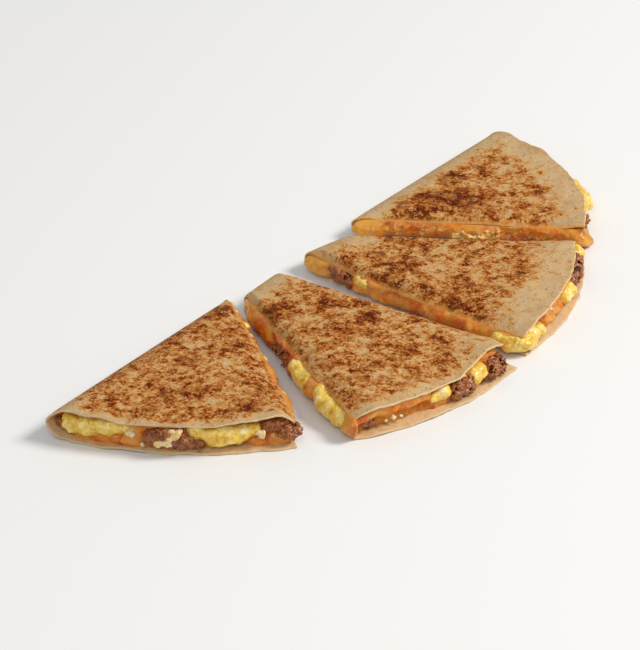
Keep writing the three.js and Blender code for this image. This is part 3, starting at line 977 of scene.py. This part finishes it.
def pale_egg():
    finish = Finish("pale_egg")
    cloud = finish.noise(0.003, detail=4, roughness=0.65, seed=20.0)
    finish.set(Base_Color=finish.ramp(cloud, (
        (0.34, "#cf9f52"), (0.48, "#e2c07c"), (0.62, "#f0dcb0"),
    )))
    finish.set(Roughness=0.35, Specular_IOR_Level=0.35)
    finish.bump(cloud, distance=0.0004, strength=0.3)
    return finish.material


flake = Clotted(WEDGES[0], FLAKE_RADIUS)
for lump in FLAKE:
    flake.ball(*lump)
flake.grown(
    "slice_1_pale_flake", "egg", (), Gap=0.0012, Voxel=0.0003, Melt=8, Folds=0.003, Fold_size=0.004,
    Grains=0.0003, Grain_size=0.002, Seed=71, Material=pale_egg(),
)

# ---------------------------------------------------------------------- sausage
# Crumbled breakfast sausage, fried brown. Each crumble is a knobbly heap of grains of meat a millimetre
# or two across, shiny with fat.

SAUSAGE_RADIUS = 0.0011  # of the grains of meat

# A crumble is given as a curd of egg is.
SAUSAGE = {
    "slice_1": (
        (0.065, 0.0012, 0.5, 0.0028), (0.78, 0.0012, 0.5, 0.0042), (0.84, 0.001, 0.55, 0.0046),
        (0.9, 0.0014, 0.7, 0.0042), (0.98, 0.002, 0.8, 0.004), (1.17, 0.001, 0.45, 0.005),
        (1.24, 0.0008, 0.42, 0.0054), (1.32, 0.0014, 0.25, 0.0048), (1.8, 0.001, 0.75, 0.0042),
        (1.88, 0.0004, 0.72, 0.0048), (1.96, -0.0006, 0.6, 0.005), (2.03, -0.0036, 0.55, 0.0046),
        (2.42, -0.003, 0.5, 0.0048),
    ),
    "slice_2": (
        (0.35, -0.003, 0.42, 0.0046), (0.41, -0.0036, 0.36, 0.005), (0.46, -0.003, 0.22, 0.0042),
        (1.03, 0.0014, 0.5, 0.0042), (1.08, 0.0018, 0.35, 0.004), (1.57, -0.0016, 0.5, 0.0052),
        (1.64, -0.002, 0.4, 0.0054), (1.83, -0.002, 0.42, 0.0052), (1.9, -0.0018, 0.35, 0.005),
        (2.64, -0.003, 0.5, 0.0046),
    ),
    "slice_3": (
        (0.155, -0.003, 0.66, 0.0044), (0.195, -0.0036, 0.48, 0.005), (0.235, -0.003, 0.25, 0.0042),
        (0.53, -0.003, 0.1, 0.003), (1.66, -0.001, 0.5, 0.0044), (1.74, -0.0016, 0.48, 0.005),
        (1.82, -0.0014, 0.42, 0.005), (1.89, -0.001, 0.38, 0.0044), (2.46, -0.003, 0.5, 0.0046),
    ),
    "slice_4": (
        (0.93, -0.0026, 0.75, 0.0034), (1.27, -0.0012, 0.5, 0.0044), (2.38, 0.001, 0.5, 0.0045),
    ),
}


def fried_sausage():
    finish = Finish("fried_sausage")
    cloud = finish.noise(0.0028, detail=4, roughness=0.7, seed=5.0)
    grain = finish.noise(0.0009, detail=3, roughness=0.7, seed=9.0)
    colour = finish.ramp(cloud * 0.55 + grain * 0.45, (
        (0.3, "#461803"), (0.43, "#793a09"), (0.52, "#955016"), (0.62, "#ae6c2a"),
        (0.75, "#cc9a58"),
    ))
    finish.set(Base_Color=colour, Roughness=0.32, Specular_IOR_Level=0.4)
    finish.set(Coat_Weight=0.35, Coat_Roughness=0.12)
    finish.bump(cloud * 0.4 + grain * 0.6, distance=0.0006, strength=0.6)
    return finish.material


sausage_finish = fried_sausage()
for number, wedge in enumerate(WEDGES):
    sausage = Clotted(wedge, SAUSAGE_RADIUS)
    for lump in SAUSAGE[wedge.name]:
        sausage.ball(*lump)
    sausage.grown(
        f"{wedge.name}_sausage_crumbles", "sausage",
        [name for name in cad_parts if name.startswith(f"{wedge.name}_sausage_")],
        Gap=0.0012, Voxel=0.0003, Melt=4, Folds=0.004, Fold_size=0.0035, Grains=0.0009, Grain_size=0.0016,
        Seed=51 + number, Material=sausage_finish,
    )

# ---------------------------------------------------------------------- bits of jack cheese
# White bits of jack cheese, 1.5 to 4 mm across, that have not melted. They stick out of the filling along
# the rims of the two front wedges.

BRICK = (1.0, 0.8, 0.7)  # half its sides
BRICK_CORNERS = 0.45  # 1 would be round, and 0 square
BRICK_UNEVEN = 0.25

# A bit is given by its wedge, counted from 0, and then as a curd of egg is.
JACK_BITS = (
    (0, 0.675, 0.0002, 0.66, 0.0018), (0, 0.7, 0.0004, 0.56, 0.0013), (0, 1.71, 0.0004, 0.6, 0.0014),
    (0, 1.737, 0.0, 0.5, 0.0018), (0, 0.78, 0.0004, 0.18, 0.001), (1, 1.17, 0.0018, 0.3, 0.0008),
    (1, 1.21, 0.0016, 0.34, 0.0012), (1, 1.25, 0.002, 0.3, 0.0007),
)


def white_cheese():
    finish = Finish("white_cheese")
    cloud = finish.noise(0.0016, detail=3, roughness=0.6, seed=7.0)
    finish.set(Base_Color=finish.ramp(cloud, (
        (0.3, "#c99a58"), (0.5, "#dcc28c"), (0.65, "#eadbb6"),
    )))
    finish.set(Roughness=0.25, Specular_IOR_Level=0.5)
    finish.bump(cloud, distance=0.0003, strength=0.3)
    return finish.material


def rounded_brick():
    """The points and faces of a small brick with well rounded corners."""
    rows, turns = 13, 20
    tilts = np.linspace(0, math.pi, rows)
    tilt, turn = np.meshgrid(tilts, np.linspace(0, 2 * math.pi, turns + 1), indexing="ij")
    ball = on_ball(turn, tilt)
    brick = np.sign(ball) * np.abs(ball) ** BRICK_CORNERS * BRICK
    index = np.arange(rows * turns).reshape(rows, turns)
    index[0] = index[0, 0]
    index[-1] = index[-1, 0]
    grid = quads(np.concatenate((index, index[:, :1]), axis=1)).tolist()
    return brick[:, :-1].reshape(-1, 3), [list(dict.fromkeys(face)) for face in grid]


brick, brick_faces = rounded_brick()
bits = Filling()
for number, (slice_number, walk, front, share, reach) in enumerate(JACK_BITS):
    middle = WEDGES[slice_number].opening(np.array([walk]), np.array([front + reach]), np.array([share]))
    turned = brick @ np.array(Euler((0.5 * number, 0.4, 1.3 * number)).to_matrix())
    uneven = 1 + BRICK_UNEVEN * fractal(turned + 9 * number, 1.2, 2)
    bits.add(middle + turned * reach * uneven[:, None], brick_faces)
jack = smooth_mesh("jack_cheese_bits", np.concatenate(bits.points), bits.faces)
jack.data.materials.append(white_cheese())
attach(jack, "root")

# ---------------------------------------------------------------------- toasted crumbs
# Golden crumbs of cheese and egg a millimetre or two across, toasted onto the upper sheet of the third
# wedge beside its right-hand cut. They lie in a thin scatter, with two layers heaped on it.

CRUMB_RADIUS = 0.0012
CRUMBS_ALONG = (0.48, 0.68)
CRUMBS_ACROSS = (0.935, 1.0)
CRUMB_LAYERS = (0.0, 0.4, 1.0)  # as shares of the heaps' height
CRUMB_LIFT = 0.0006
HEAP = 0.006


def golden_crumbs():
    finish = Finish("golden_crumbs")
    cloud = finish.noise(0.002, detail=4, roughness=0.7, seed=10.0)
    finish.set(Base_Color=finish.ramp(cloud, (
        (0.3, "#9c5a1e"), (0.43, "#c5883a"), (0.52, "#d8a85a"), (0.65, "#e9c88c"),
    )))
    finish.set(Roughness=0.5, Specular_IOR_Level=0.3)
    finish.bump(cloud, distance=0.0004, strength=0.5)
    return finish.material


crumbs = Clotted(WEDGES[2], CRUMB_RADIUS)
along, across = np.meshgrid(np.linspace(*CRUMBS_ALONG, 28), np.linspace(*CRUMBS_ACROSS, 7), indexing="ij")
surface = WEDGES[2].outer(along, across)
heaped = 0.0008 + HEAP * np.maximum(fractal(surface, 0.006, 2, 4.0) + 0.15, 0)
patch_faces = quads(np.arange(along.size).reshape(along.shape))
clumps = fractal(surface, 0.005, 2).ravel()[patch_faces[:, 0]]
for layer in CRUMB_LAYERS:
    patch = surface.copy()
    patch[..., 2] += CRUMB_LIFT + layer * heaped
    crumbs.add(patch, patch_faces[clumps > -0.25 + 0.2 * layer].tolist(), True)
crumbs.grown(
    "toasted_crumbs", "cheese", (), Gap=0.0012, Voxel=0.0003, Melt=2, Folds=0.001, Fold_size=0.003,
    Grains=0.0005, Grain_size=0.0013, Seed=81, Material=golden_crumbs(),
)

# ---------------------------------------------------------------------- studio
# A plain pale floor. A large soft light stands on the right, at about 40 degrees, and pale walls fill the
# shadows.

FLOOR_HALF = 3.0
LIGHT_DISTANCE = 2.2

floor_mesh = bpy.data.meshes.new("floor")
floor_corners = [(x * FLOOR_HALF, y * FLOOR_HALF, 0) for x, y in ((-1, -1), (1, -1), (1, 1), (-1, 1))]
floor_mesh.from_pydata(floor_corners, [], [(0, 1, 2, 3)])
floor = put_in_scene("floor", floor_mesh)
floor_finish = Finish("pale_floor")
floor_finish.set(Base_Color=(0.8, 0.8, 0.785, 1), Roughness=0.6, Specular_IOR_Level=0.2)
floor_mesh.materials.append(floor_finish.material)

world = bpy.data.worlds.new("studio")
bpy.context.scene.world = world
world.use_nodes = True
walls = world.node_tree.nodes["Background"]
walls.inputs["Color"].default_value = (0.97, 0.98, 1.0, 1)
walls.inputs["Strength"].default_value = 0.46


def soft_light(name, size, energy, turn, rise, colour):
    """A round soft light, turned round the food from the camera's side and raised, in degrees."""
    light = put_in_scene(name, bpy.data.lights.new(name, "AREA"))
    light.data.shape = "DISK"
    light.data.size = size
    light.data.energy = energy
    light.data.color = colour
    aim_at_food(light, LIGHT_DISTANCE, azimuth + math.radians(turn), math.radians(rise))


soft_light("key", size=0.8, energy=42, turn=92, rise=42, colour=(1.0, 0.97, 0.93))
soft_light("front_fill", size=1.0, energy=10, turn=-10, rise=40, colour=(1.0, 1.0, 1.0))
